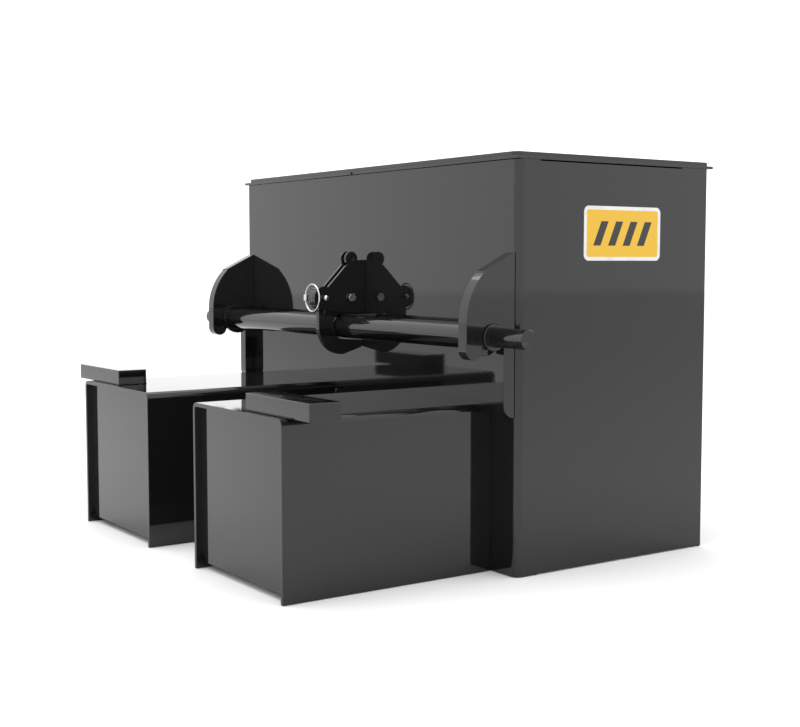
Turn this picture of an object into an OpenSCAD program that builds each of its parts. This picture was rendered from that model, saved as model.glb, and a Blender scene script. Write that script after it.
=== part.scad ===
// Hitch ballast box: a welded weight box with two forward weight pods, a cross
// bar that turns in two ears, a locked keeper hook and a hinged storage lid.
// Frame: millimetres, +Z up, -Y towards the towing machine.
// Origin: on the floor, below the middle of the whole object.

/* [Box] */
// Outside width of the main box
box_w = 816; // [650:1:980]
// Outside depth of the main box
box_d = 386; // [320:1:480]
// Height of the box walls, floor to the rim's underside
wall_h = 604; // [500:1:720]
// Thickness of the box wall sheet
wall_t = 5; // [4:0.5:6]
// Outside bend radius of the two front corners
corner_r = 12; // [9:0.5:15]
// How far the front panel is folded back along each side
return_len = 40; // [30:1:70]
// Gap between the side panels' lower edges and the ground
side_lift = 2; // [0:0.5:4]
// Height of the storage well under the lid
well_h = 170; // [120:1:220]
// Distance of each inner rib from the middle of the box
rib_x = 133; // [100:1:170]

/* [Rim and lid] */
// Thickness of the flat rim on top of the walls
rim_t = 4.5; // [3:0.5:6]
// How far the rim stands out in front of the box
rim_over = 3.5; // [2:0.5:7]
// How far the rim stands out behind the box
rim_back = 14; // [8:0.5:18]
// Width of the flat rim's inner ledge, measured from the wall's outside
rim_ledge = 32; // [26:1:40]
// Height of the lid above the rim
lid_h = 6.5; // [6:0.5:10]
// Thickness of the lid sheet
lid_t = 3; // [2:0.5:3.5]
// How far each side of the lid is set in from the box's side
lid_side = 7; // [1:0.5:9]
// How far the lid's front edge is behind the box's front face
lid_front = 0.5; // [0:0.5:4]
// How far the lid's back edge is in front of the rim's back edge
lid_back = 6; // [2:0.5:8]
// Gap between the closed lid and the rim
lid_gap = 0.4; // [0.3:0.1:0.6]
// Height of the long air slot above each side panel
slot_h = 1.8; // [1:0.1:2]
// Distance from the end of that slot to the box's back face
slot_rear = 57; // [40:1:90]
// Width of the small notch in the rim's front edge
notch_w = 5; // [4:0.5:12]
// Place of that notch, left (-) or right (+) of the middle
notch_x = -26; // [-100:1:100]

/* [Lid hinges] */
// Radius of the hinge knuckles
knuckle_r = 5; // [4.5:0.1:5.2]
// Radius of the hinge pins
hinge_pin_r = 2.5; // [2:0.1:3]
// Length of one hinge
hinge_len = 70; // [50:1:100]
// Distance of each hinge from the middle of the box
hinge_x = 270; // [200:1:290]

/* [Weight pods] */
// Width of one pod
pod_w = 267; // [220:1:280]
// Length of the pods in front of the box
pod_len = 354; // [280:1:420]
// Height of the pods
pod_h = 250; // [200:1:270]
// Free width between the two pods
pod_gap = 165; // [140:1:200]
// Thickness of the pod plates
pod_t = 6; // [5:0.5:8]
// Outside bend radius of the pods' top edges
pod_r = 10; // [9:0.5:14]
// How far the pod's end plate sits behind the pod's front edges
end_recess = 10; // [6:0.5:16]
// Height of the pod's base plate above the floor
base_lift = 10; // [6:0.5:16]
// Size of the chamfers on the end plate's lower corners
end_chamfer = 14; // [8:1:20]

/* [Stop blocks] */
// Width of a stop block
stop_w = 175; // [140:1:200]
// Length of a stop block, front to back
stop_len = 50; // [35:1:70]
// Height of a stop block
stop_h = 25; // [16:1:32]
// Distance of a stop block's outer end past the pod's outer side
stop_over = 52; // [20:1:60]
// Distance of a stop block behind the pod's front edge
stop_back = 12; // [6:1:30]

/* [Cross bar] */
// Radius of the bar between the ears
bar_r = 19; // [16:0.1:19.5]
// Radius of the hitch pins at the bar's ends (category 2 lower link)
pin_r = 14.2; // [11:0.1:14.5]
// Free length of a hitch pin outside its bush
pin_free = 75; // [50:1:90]
// Radius of the journals that turn in the bushes
journal_r = 14.5; // [11.5:0.1:15]
// How far a journal stands out past its bush
journal_out = 1; // [0.5:0.5:3]
// Distance of the bar's axis in front of the box
bar_y = 39; // [37:0.5:41]
// Height of the bar's axis above the floor
bar_z = 351; // [310:1:400]
// Radial running gap between each turning piece and its bore
run_gap = 0.05; // [0.02:0.01:0.1]
// Radius of the bushes
bush_r = 19.5; // [18:0.1:21]
// How far a bush stands out past its ear's outer face
bush_out = 4.5; // [1:0.5:6]
// Radius of the bushes' collars, on the inner side of the ears
collar_r = 28; // [24:0.5:30]
// Thickness of the bushes' collars
collar_t = 8; // [5:0.5:12]
// Chamfer on the ends of the hitch pins
pin_chamfer = 1.5; // [0.5:0.1:2.5]

/* [Ears] */
// Thickness of the ears
ear_t = 19; // [15:0.5:20]
// Distance of an ear's outer face in from the box's side
ear_in = 7; // [3:0.5:9]
// How far an ear reaches in front of the box
ear_reach = 87; // [84:1:100]
// Height of an ear above the bar's axis
ear_up = 120; // [100:1:140]
// How far an ear's leg runs below the bar's axis
ear_down = 118; // [90:1:140]
// Width of the leg, which also sets the radius at its foot
ear_leg = 19.5; // [18:0.5:24]
// Radius of the ear's round nose
nose_r = 14; // [10:0.5:16]
// How far the nose's underside is below the bar's axis
nose_down = 17.5; // [12:0.5:20]
// Radius of the ear's long front curve
arc_r = 101; // [92:1:110]
// Height of the front curve's start above the bar's axis
arc_up = 19; // [10:1:30]
// Length of an ear's flat top, front to back
ear_flat = 2; // [1:1:30]
// Distance of the slanted edge's lower end in front of the box
slant_y = 57; // [50:1:65]
// Height of the slanted edge's lower end above the bar's axis
slant_up = 93; // [80:1:100]
// How far the ceiling of the cove behind the nose is below the bar's axis
cove_down = 10; // [6:1:14]

/* [Keeper bracket] */
// Thickness of the two bracket plates
plate_t = 5; // [4:0.5:6]
// Thickness of the keeper hook between them
hook_t = 9; // [7:0.5:11]
// Gap between the hook and each bracket plate
hook_gap = 0.3; // [0.3:0.1:0.5]
// Height of the two cross holes above the bar's axis
holes_up = 47.5; // [45:0.5:52]
// Distance of the pivot hole in front of the box
pivot_y = 28; // [26:0.5:30]
// Distance of the linch pin hole in front of the box
lock_y = 80; // [76:0.5:84]
// Radius of the lobes around the linch pin hole
lobe_r = 19.3; // [17:0.1:20]
// Height of the bracket plates above the bar's axis
bracket_up = 110; // [105:1:118]
// Radius of the small lug on top of each bracket plate
lug_r = 11.8; // [10:0.1:12.5]
// Radius of the hole in the small lug
lug_hole_r = 3.5; // [2.5:0.1:4.5]
// Gap all round the bar inside the hook's throat
throat_gap = 2.5; // [2:0.1:3.5]
// Radius of the pivot bolt
bolt_r = 4; // [3:0.5:5]

/* [Linch pin] */
// Radius of the linch pin's shank
linch_r = 4.7; // [3.5:0.1:5]
// Radius of the linch pin's head
linch_head_r = 7; // [6:0.1:8]
// Radius of the ring's wire
wire_r = 1.5; // [1.2:0.1:1.8]
// Radius of the ring, to the middle of its wire
ring_r = 22.2; // [21:0.1:24]
// Distance of the ring's plane in front of the linch pin's axis
ring_out = 14; // [13:0.5:17]

/* [Label] */
// Length of the plain reflective label on the right side
label_w = 158; // [100:1:180]
// Height of the label
label_h = 81; // [60:1:100]
// Thickness of the label
label_t = 0.4; // [0.3:0.1:1]
// Distance from the top of the wall to the middle of the label
label_down = 104; // [80:1:160]
// Distance from the box's front face to the middle of the label
label_y = 204; // [150:1:250]

/* [Hidden] */
$fn = 64;

paint = "#1c1c1e";
paint_light = "#3a3b3e";
concrete = "#8e8b84";
zinc = "#c3c7cb";
cut = 1;

// Heights in the box
floor_t = 6;
storage_t = 4;
storage_top = wall_h - well_h;
ballast_gap = 0.5;
rim_z = wall_h;
lid_z = rim_z + rim_t + lid_gap;
top_z = rim_z + rim_t + lid_h;
lid_end = box_d + rim_back - lid_back;

// Hinge
block_gap = 1;
hinge_out = 4;
hinge_y = box_d + rim_back + hinge_out + knuckle_r;
hinge_z = top_z - knuckle_r - block_gap / 2;
leaf_t = 3;
leaf_lift = 1;
knuckle_gap = 0.5;
mid_share = 0.4;
block_down = 30;
knuckle_bite = 0.5;
notch_back = 1;

// Pods
pod_x = pod_gap / 2 + pod_w / 2;

// Ears and bar
ear_x = box_w / 2 - ear_in - ear_t;
bush_len = collar_t + ear_t + bush_out;
shoulder_gap = 0.3;
bar_end = ear_x - collar_t - shoulder_gap;
journal_end = ear_x + ear_t + bush_out + journal_out;
pin_end = ear_x + ear_t + bush_out + pin_free;
nose_z = bar_z - nose_down;
arc_z = bar_z + arc_up;
slant_z = bar_z + slant_up;
cove_z = bar_z - cove_down;
cove_r = 6;

// Keeper bracket
hole_z = bar_z + holes_up;
plate_x = hook_t / 2 + hook_gap;
plate_clear = 0.5;
lug_lift = 2;
plate_bottom = bar_z + bar_r + plate_clear;
lug_y = 27;
lug_z = bar_z + bracket_up + lug_lift;
flat_y = 12;
shoulder_y = 37.5;
shoulder_z = lug_z - lug_r + 1;
brow_z = hole_z + lobe_r / 2 + 1;
throat_r = bar_r + throat_gap;
hook_front = 87.7;
hook_foot = 47;
hook_tip = 1;
tip_slope = 4;
tip_low = 36;
tip_flat = 33;
lip_t = 2.5;
eye_r = 22;
bolt_head_w = 13;
bolt_head_t = 5.3;
nut_t = 6.5;
bolt_past = 3;
linch_tip = 10;
tip_len = 3;
tip_taper = 2;
head_len = 20;
ring_x = -5;
peg_angle = 20;
peg_x = ring_x - ring_r * cos(peg_angle);
peg_top = ring_r * sin(peg_angle);
eye_h = 5;
eye_out = 4;

label_z = wall_h - label_down;
label_r = 9;

// The pieces are drawn with the box's front face at y = 0 and then moved together
mid_y = (hinge_y + knuckle_r - pod_len) / 2;

module placed() {
  translate([0, -mid_y, 0]) children();
}

// A profile drawn in (Y, Z), spread t along X from x
module along_x(x, t) {
  translate([x, 0, 0]) rotate([90, 0, 90]) linear_extrude(t) children();
}

// A flat shape with its two front corners rounded, from y = 0 back to d
module front_rounded(w, d, r) {
  translate([-w / 2, r]) square([w, d - r]);
  translate([-w / 2 + r, 0]) square([w - 2 * r, r]);
  for (side = [-1, 1]) translate([side * (w / 2 - r), r]) circle(r);
}

// A flat shape with all four corners rounded
module rounded_plate(w, d, r) {
  translate([-w / 2 + r, 0]) square([w - 2 * r, d]);
  translate([-w / 2, r]) square([w, d - 2 * r]);
  for (side = [-1, 1], y = [r, d - r]) translate([side * (w / 2 - r), y]) circle(r);
}

// A sheet bent into a U, open towards +y
module bent_sheet(w, d, t, r) {
  difference() {
    front_rounded(w, d, r);
    translate([0, t]) front_rounded(w - 2 * t, d, r - t);
  }
}

// Box

module front_panel() {
  color(paint) placed() linear_extrude(wall_h) bent_sheet(box_w, return_len, wall_t, corner_r);
}

module back_panel() {
  color(paint) placed() translate([-box_w / 2, box_d - wall_t, 0]) cube([box_w, wall_t, wall_h]);
}

// Side panel, with the air slot left open between its top edge and the rim
module side_panel(side) {
  color(paint) placed() translate([side > 0 ? box_w / 2 - wall_t : -box_w / 2, return_len, 0])
    difference() {
      translate([0, 0, side_lift]) cube([wall_t, box_d - wall_t - return_len, wall_h - side_lift]);
      translate([-cut, -cut, wall_h - slot_h])
        cube([wall_t + 2 * cut, box_d - slot_rear - return_len + cut, slot_h + cut]);
    }
}

module side_panel_left() {
  side_panel(-1);
}

module side_panel_right() {
  side_panel(1);
}

module inner_plan() {
  translate([0, wall_t]) front_rounded(box_w - 2 * wall_t, box_d - 2 * wall_t, corner_r - wall_t);
}

module floor_plate() {
  color(paint) placed() linear_extrude(floor_t) inner_plan();
}

module storage_floor() {
  color(paint) placed() translate([0, 0, storage_top - storage_t]) linear_extrude(storage_t) inner_plan();
}

module rib(side) {
  color(paint_light) placed() translate([side * rib_x - wall_t / 2, wall_t, floor_t])
    cube([wall_t, box_d - 2 * wall_t, storage_top - storage_t - floor_t]);
}

module rib_left() {
  rib(-1);
}

module rib_right() {
  rib(1);
}

// Concrete cast between x0 and x1, up to the storage floor
module ballast(x0, x1) {
  color(concrete) placed() translate([0, 0, floor_t])
    linear_extrude(storage_top - storage_t - floor_t - ballast_gap) intersection() {
      inner_plan();
      translate([x0, 0]) square([x1 - x0, box_d]);
    }
}

module ballast_left() {
  ballast(-box_w / 2, -rib_x - wall_t / 2);
}

module ballast_centre() {
  ballast(-rib_x + wall_t / 2, rib_x - wall_t / 2);
}

module ballast_right() {
  ballast(rib_x + wall_t / 2, box_w / 2);
}

// Rim and lid

module rim_flange() {
  color(paint) placed() translate([0, 0, rim_z]) linear_extrude(rim_t) difference() {
    translate([-box_w / 2, -rim_over]) square([box_w, box_d + rim_over + rim_back]);
    translate([0, rim_ledge])
      rounded_plate(box_w - 2 * rim_ledge, box_d - 2 * rim_ledge, corner_r);
    translate([notch_x - notch_w / 2, -rim_over - cut]) square([notch_w, rim_over - notch_back + cut]);
  }
}

// The lid's outline, drawn in by "inset" from its outside
module lid_plan(inset) {
  translate([0, lid_front + inset])
    front_rounded(box_w - 2 * lid_side - 2 * inset, lid_end - lid_front - 2 * inset, corner_r - inset);
}

module lid() {
  color(paint) placed() difference() {
    translate([0, 0, lid_z]) linear_extrude(top_z - lid_z) lid_plan(0);
    translate([0, 0, lid_z - cut]) linear_extrude(top_z - lid_z - lid_t + cut) lid_plan(lid_t);
  }
}

// Hat-section stiffener welded under the lid, clear of the rim's ledge
module lid_stiffener() {
  hat_w = 60;
  hat_h = 14;
  brim = 15;
  len = box_w - 2 * rim_ledge - 2 * corner_r;
  color(paint_light) placed() translate([0, box_d / 2, top_z - lid_t]) difference() {
    translate([-len / 2, -hat_w / 2, -hat_h]) cube([len, hat_w, hat_h]);
    translate([-len / 2 - cut, -hat_w / 2 + brim + lid_t, -hat_h + lid_t])
      cube([len + 2 * cut, hat_w - 2 * brim - 2 * lid_t, hat_h]);
    for (side = [-1, 1])
      translate([-len / 2 - cut, side * hat_w / 2 - (side > 0 ? brim : 0), -hat_h - cut])
        cube([len + 2 * cut, brim, hat_h - lid_t + cut]);
  }
}

// Rubber strip on the rim, under the lid sheet
module lid_seal() {
  seal_w = 12;
  seal_in = 16;
  seal_z = rim_z + rim_t;
  color("#26262a") placed() translate([0, 0, seal_z])
    linear_extrude(top_z - lid_t - lid_gap - seal_z) difference() {
      translate([0, seal_in])
        rounded_plate(box_w - 2 * seal_in, box_d - 2 * seal_in, corner_r);
      translate([0, seal_in + seal_w])
        rounded_plate(box_w - 2 * (seal_in + seal_w), box_d - 2 * (seal_in + seal_w),
          corner_r - 2);
    }
}

// A knuckle barrel from x0, len long, bored for the hinge pin
module knuckle(x0, len, bore_r) {
  translate([x0, hinge_y, hinge_z]) rotate([0, 90, 0]) difference() {
    cylinder(r = knuckle_r, h = len);
    translate([0, 0, -cut]) cylinder(r = bore_r, h = len + 2 * cut);
  }
}

// Welded hinge halves on the box: two outer knuckles on a block that reaches over the rim
module hinge_blocks() {
  end_len = hinge_len * (1 - mid_share) / 2;
  color(paint) placed() for (side = [-1, 1], part = [-1, 1])
    translate([side * hinge_x + (part > 0 ? hinge_len / 2 - end_len : -hinge_len / 2), 0, 0]) {
      knuckle(0, end_len, hinge_pin_r);
      difference() {
        translate([0, box_d, wall_h - block_down])
          cube([end_len, hinge_y + knuckle_r - box_d, block_down + hinge_z - wall_h]);
        translate([-cut, box_d - cut, wall_h - cut / 2])
          cube([end_len + 2 * cut, rim_back + block_gap + cut, top_z - wall_h]);
        translate([-cut, hinge_y, hinge_z]) rotate([0, 90, 0])
          cylinder(r = knuckle_r - knuckle_bite, h = end_len + 2 * cut);
      }
    }
}

// Hinge halves on the lid: one middle knuckle on a flat leaf
module hinge_leaves() {
  mid_len = hinge_len * mid_share - 2 * knuckle_gap;
  leaf_z = hinge_z - leaf_t / 2 + leaf_lift;
  color(paint) placed() for (side = [-1, 1]) translate([side * hinge_x - mid_len / 2, 0, 0]) {
    knuckle(0, mid_len, hinge_pin_r + run_gap);
    difference() {
      translate([0, lid_end, leaf_z]) cube([mid_len, hinge_y - lid_end, leaf_t]);
      translate([-cut, hinge_y, hinge_z]) rotate([0, 90, 0])
        cylinder(r = knuckle_r - knuckle_bite, h = mid_len + 2 * cut);
    }
  }
}

module hinge_pins() {
  color(zinc) placed() for (side = [-1, 1])
    translate([side * hinge_x - hinge_len / 2, hinge_y, hinge_z]) rotate([0, 90, 0])
      cylinder(r = hinge_pin_r, h = hinge_len);
}

// Weight pods

// Bent shell: two side walls and a deck, open below and at the ends
module pod_shell(side) {
  color(paint) placed() translate([side * pod_x, 0, pod_h]) rotate([90, 0, 0])
    linear_extrude(pod_len) mirror([0, 1]) bent_sheet(pod_w, pod_h, pod_t, pod_r);
}

module pod_shell_left() {
  pod_shell(-1);
}

module pod_shell_right() {
  pod_shell(1);
}

module pod_end(side) {
  in_w = pod_w - 2 * pod_t;
  in_top = pod_h - pod_t;
  in_r = pod_r - pod_t;
  color(paint) placed() translate([side * pod_x, -pod_len + end_recess + pod_t, 0]) rotate([90, 0, 0])
    linear_extrude(pod_t) difference() {
      translate([0, in_top]) mirror([0, 1]) front_rounded(in_w, in_top - base_lift, in_r);
      for (turn = [0, 1]) mirror([turn, 0])
        polygon([[in_w / 2 + cut, base_lift - cut], [in_w / 2 - end_chamfer - cut, base_lift - cut],
          [in_w / 2 + cut, base_lift + end_chamfer + cut]]);
    }
}

module pod_end_left() {
  pod_end(-1);
}

module pod_end_right() {
  pod_end(1);
}

module pod_base(side) {
  color(paint) placed() translate([side * pod_x - pod_w / 2 + pod_t, -pod_len + end_recess + pod_t,
    base_lift]) cube([pod_w - 2 * pod_t, pod_len - end_recess - pod_t, pod_t]);
}

module pod_base_left() {
  pod_base(-1);
}

module pod_base_right() {
  pod_base(1);
}

module pod_ballast(side) {
  low = base_lift + pod_t;
  high = pod_h - pod_t;
  color(concrete) placed() translate([side * pod_x, 0, high]) rotate([90, 0, 0])
    linear_extrude(pod_len - end_recess - pod_t) mirror([0, 1])
      front_rounded(pod_w - 2 * pod_t, high - low, pod_r - pod_t);
}

module pod_ballast_left() {
  pod_ballast(-1);
}

module pod_ballast_right() {
  pod_ballast(1);
}

module stop_block(side) {
  x_out = pod_x + pod_w / 2 + stop_over;
  color(paint) placed() translate([side > 0 ? x_out - stop_w : -x_out, -pod_len + stop_back, pod_h])
    cube([stop_w, stop_len, stop_h]);
}

module stop_block_left() {
  stop_block(-1);
}

module stop_block_right() {
  stop_block(1);
}

// Ears, bushes and cross bar

module ear_profile() {
  difference() {
    union() {
      polygon([[0, nose_z], [0, bar_z + ear_up], [-ear_flat, bar_z + ear_up],
        [-slant_y, slant_z], [-slant_y, nose_z]]);
      translate([-ear_reach, nose_z]) square([ear_reach - slant_y, arc_z - nose_z]);
      intersection() {
        translate([-ear_reach + arc_r, arc_z]) circle(arc_r, $fn = 200);
        translate([-ear_reach, arc_z]) square([ear_reach - slant_y, slant_z - arc_z]);
      }
      translate([-ear_reach + nose_r, nose_z]) circle(nose_r);
      translate([-ear_leg, bar_z - ear_down + ear_leg])
        square([ear_leg, nose_z - bar_z + ear_down - ear_leg]);
      intersection() {
        translate([0, bar_z - ear_down + ear_leg]) circle(ear_leg);
        translate([-ear_leg, bar_z - ear_down]) square([ear_leg, ear_leg]);
      }
    }
    difference() {
      translate([-ear_reach + 2 * nose_r, nose_z - cut])
        square([ear_reach - 2 * nose_r - ear_leg, cove_z - nose_z + cut]);
      translate([-ear_reach + 2 * nose_r, cove_z - cove_r]) difference() {
        square([cove_r, cove_r]);
        translate([cove_r, 0]) circle(cove_r);
      }
    }
    translate([-bar_y, bar_z]) circle(bush_r);
  }
}

module hitch_ear(side) {
  color(paint) placed() mirror([side > 0 ? 0 : 1, 0, 0])
    along_x(ear_x, ear_t) ear_profile();
}

module hitch_ear_left() {
  hitch_ear(-1);
}

module hitch_ear_right() {
  hitch_ear(1);
}

// Bush through the ear, with a round collar on the ear's inner face
module bush(side) {
  color(paint_light) placed() mirror([side > 0 ? 0 : 1, 0, 0])
    translate([ear_x - collar_t, -bar_y, bar_z]) rotate([0, 90, 0]) difference() {
      union() {
        cylinder(r = collar_r, h = collar_t);
        cylinder(r = bush_r, h = bush_len);
      }
      translate([0, 0, -cut]) cylinder(r = journal_r + run_gap, h = bush_len + 2 * cut);
    }
}

module bush_left() {
  bush(-1);
}

module bush_right() {
  bush(1);
}

module cross_bar() {
  color(paint) placed() translate([0, -bar_y, bar_z]) rotate([0, 90, 0]) {
    translate([0, 0, -bar_end]) cylinder(r = bar_r, h = 2 * bar_end);
    translate([0, 0, -journal_end]) cylinder(r = journal_r, h = 2 * journal_end);
    translate([0, 0, -pin_end + pin_chamfer]) cylinder(r = pin_r, h = 2 * (pin_end - pin_chamfer));
    for (turn = [0, 1]) mirror([0, 0, turn]) translate([0, 0, pin_end - pin_chamfer])
      cylinder(r1 = pin_r, r2 = pin_r - pin_chamfer, h = pin_chamfer);
  }
}

// Keeper bracket

module bracket_profile() {
  difference() {
    union() {
      polygon([[0, plate_bottom], [0, bar_z + bracket_up], [-flat_y, bar_z + bracket_up],
        [-lug_y, lug_z - lug_r / 2], [-shoulder_y, shoulder_z],
        [-lock_y, brow_z], [-lock_y, plate_bottom]]);
      translate([-lug_y, lug_z]) circle(lug_r);
      translate([-lock_y, hole_z]) circle(lobe_r);
    }
    translate([-lug_y, lug_z]) circle(lug_hole_r);
    translate([-pivot_y, hole_z]) circle(bolt_r + run_gap);
    translate([-lock_y, hole_z]) circle(linch_r + run_gap);
  }
}

module bracket_plate_left() {
  color(paint) placed() along_x(-plate_x - plate_t, plate_t) bracket_profile();
}

module bracket_plate_right() {
  color(paint) placed() along_x(plate_x, plate_t) bracket_profile();
}

// Hook outline: an eye on the pivot, a lobe on the linch pin and a lip under the bar
module hook_profile() {
  lip_z = bar_z - throat_r;
  difference() {
    union() {
      translate([-pivot_y, hole_z]) circle(eye_r);
      translate([-lock_y, hole_z]) circle(lobe_r);
      polygon([[-pivot_y, hole_z - eye_r], [-pivot_y, hole_z + eye_r],
        [-lock_y, hole_z + lobe_r / 2], [-hook_front, hole_z], [-hook_front, bar_z],
        [-bar_y, bar_z], [-bar_y, hole_z - eye_r]]);
      intersection() {
        translate([-hook_front + hook_foot, bar_z]) circle(hook_foot);
        translate([-hook_front, bar_z - hook_foot]) square([hook_foot, hook_foot]);
      }
      polygon([[-hook_front + hook_foot, bar_z], [-hook_front + hook_foot, bar_z - hook_foot],
        [-hook_tip - tip_slope, bar_z - tip_low], [-hook_tip, bar_z - tip_flat],
        [-hook_tip, lip_z - lip_t], [-bar_y, lip_z], [-bar_y, bar_z]]);
    }
    translate([-bar_y, bar_z]) circle(throat_r);
    translate([-pivot_y, hole_z]) circle(bolt_r + run_gap);
    translate([-lock_y, hole_z]) circle(linch_r + run_gap);
  }
}

module keeper_hook() {
  color(paint) placed() along_x(-hook_t / 2, hook_t) hook_profile();
}

module pivot_bolt() {
  outer = plate_x + plate_t;
  color(zinc) placed() translate([0, -pivot_y, hole_z]) rotate([0, 90, 0]) {
    translate([0, 0, -outer - nut_t - bolt_past])
      cylinder(r = bolt_r, h = 2 * outer + nut_t + bolt_past);
    translate([0, 0, outer]) cylinder(d = bolt_head_w / cos(30), h = bolt_head_t, $fn = 6);
  }
}

module pivot_nut() {
  color(zinc) placed() translate([-plate_x - plate_t - nut_t, -pivot_y, hole_z]) rotate([0, 90, 0])
    difference() {
      cylinder(d = bolt_head_w / cos(30), h = nut_t, $fn = 6);
      translate([0, 0, -cut]) cylinder(r = bolt_r, h = nut_t + 2 * cut);
    }
}

// Linch pin: shank through the stack, round head and an eye for the ring
module linch_pin() {
  outer = plate_x + plate_t;
  head_x = -outer - hook_gap - head_len;
  color(zinc) placed() difference() {
    union() {
      translate([head_x, -lock_y, hole_z]) rotate([0, 90, 0])
        cylinder(r = linch_head_r, h = head_len);
      translate([head_x, -lock_y, hole_z]) rotate([0, 90, 0])
        cylinder(r = linch_r, h = outer - head_x + linch_tip - tip_len);
      translate([outer + linch_tip - tip_len, -lock_y, hole_z]) rotate([0, 90, 0])
        cylinder(r1 = linch_r, r2 = linch_r - tip_taper, h = tip_len);
      translate([peg_x, -lock_y - ring_out, hole_z - eye_h]) cylinder(r = eye_out, h = 2 * eye_h);
      translate([peg_x - eye_out, -lock_y - ring_out, hole_z - eye_h])
        cube([2 * eye_out, ring_out, 2 * eye_h]);
    }
    translate([peg_x, -lock_y - ring_out, hole_z - eye_h - cut])
      cylinder(r = wire_r + run_gap, h = 2 * eye_h + 2 * cut);
  }
}

// Spring ring: an open wire loop whose two ends turn in the eye
module linch_ring() {
  peg_in = 2;
  color(zinc) placed() translate([ring_x, -lock_y - ring_out, hole_z]) {
    rotate([90, 0, 0]) rotate([0, 0, peg_angle - 180])
      rotate_extrude(angle = 360 - 2 * peg_angle) translate([ring_r, 0]) circle(wire_r, $fn = 24);
    for (turn = [0, 1]) mirror([0, 0, turn])
      translate([peg_x - ring_x, 0, peg_in]) cylinder(r = wire_r, h = peg_top - peg_in, $fn = 24);
  }
}

// Plain reflective label, with nothing written on it
module side_label() {
  color("#e9b21d") placed() along_x(box_w / 2, label_t) translate([label_y, label_z - label_h / 2])
    rounded_plate(label_w, label_h, label_r);
}

front_panel();
back_panel();
side_panel_left();
side_panel_right();
floor_plate();
rib_left();
rib_right();
storage_floor();
ballast_left();
ballast_centre();
ballast_right();
rim_flange();
lid();
lid_stiffener();
lid_seal();
hinge_blocks();
hinge_leaves();
hinge_pins();
pod_shell_left();
pod_shell_right();
pod_end_left();
pod_end_right();
pod_base_left();
pod_base_right();
pod_ballast_left();
pod_ballast_right();
stop_block_left();
stop_block_right();
hitch_ear_left();
hitch_ear_right();
bush_left();
bush_right();
cross_bar();
bracket_plate_left();
bracket_plate_right();
keeper_hook();
pivot_bolt();
pivot_nut();
linch_pin();
linch_ring();
side_label();
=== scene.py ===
"""Hitch ballast box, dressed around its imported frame.

Every plate keeps its place and its size from the frame. The visible ones are shown by copies
with eased edges, the round and small parts are turned and formed again in finer meshes, and
each finish is a procedural material on Object coordinates. Lengths are in metres.
"""

import logging
import math
import random
from dataclasses import dataclass, field
from enum import Enum
from typing import Iterable, Sequence

import bmesh
import bpy
from mathutils import Matrix, Vector


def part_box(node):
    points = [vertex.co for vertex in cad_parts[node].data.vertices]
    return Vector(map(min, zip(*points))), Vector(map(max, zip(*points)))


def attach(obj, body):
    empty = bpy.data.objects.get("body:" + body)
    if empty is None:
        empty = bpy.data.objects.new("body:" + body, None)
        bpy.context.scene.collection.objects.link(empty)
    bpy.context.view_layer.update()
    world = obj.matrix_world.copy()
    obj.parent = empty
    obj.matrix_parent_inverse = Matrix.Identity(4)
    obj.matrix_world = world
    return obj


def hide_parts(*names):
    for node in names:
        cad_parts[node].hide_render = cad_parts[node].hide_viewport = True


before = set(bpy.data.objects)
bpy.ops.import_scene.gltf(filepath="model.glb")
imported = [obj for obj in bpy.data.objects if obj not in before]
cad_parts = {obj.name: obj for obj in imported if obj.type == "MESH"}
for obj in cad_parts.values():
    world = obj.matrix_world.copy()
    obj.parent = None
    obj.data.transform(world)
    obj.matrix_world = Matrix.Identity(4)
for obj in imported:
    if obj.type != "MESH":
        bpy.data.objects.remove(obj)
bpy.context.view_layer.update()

log = logging.getLogger("ballast_box")

SEED = 7
Colour = tuple[float, float, float, float]


class Slot(Enum):
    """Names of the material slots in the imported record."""

    PAINT = "paint_black"
    INNER = "paint_inner"
    ZINC = "zinc"
    FILM = "label_film"


class Body(Enum):
    """Bodies that the pieces ride on."""

    BOX = "box"
    LID = "lid"
    BAR = "cross_bar"
    PIN = "linch_pin"
    RING = "linch_ring"


class Axis(Enum):
    """Directions that a turned piece can lie along."""

    X = "x"
    Y = "y"
    Z = "z"

    def turn(self) -> Matrix:
        """Returns the rotation that takes +X to this axis."""
        if self is Axis.X:
            return Matrix.Identity(4)
        if self is Axis.Y:
            return Matrix.Rotation(math.radians(90), 4, "Z")
        return Matrix.Rotation(math.radians(-90), 4, "Y")


class Side(Enum):
    """The two mirrored sides of the box, seen from the hitch."""

    LEFT = -1
    RIGHT = 1

    def tag(self) -> str:
        """Returns the side's ending in node and piece names."""
        return self.name.lower()


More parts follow.
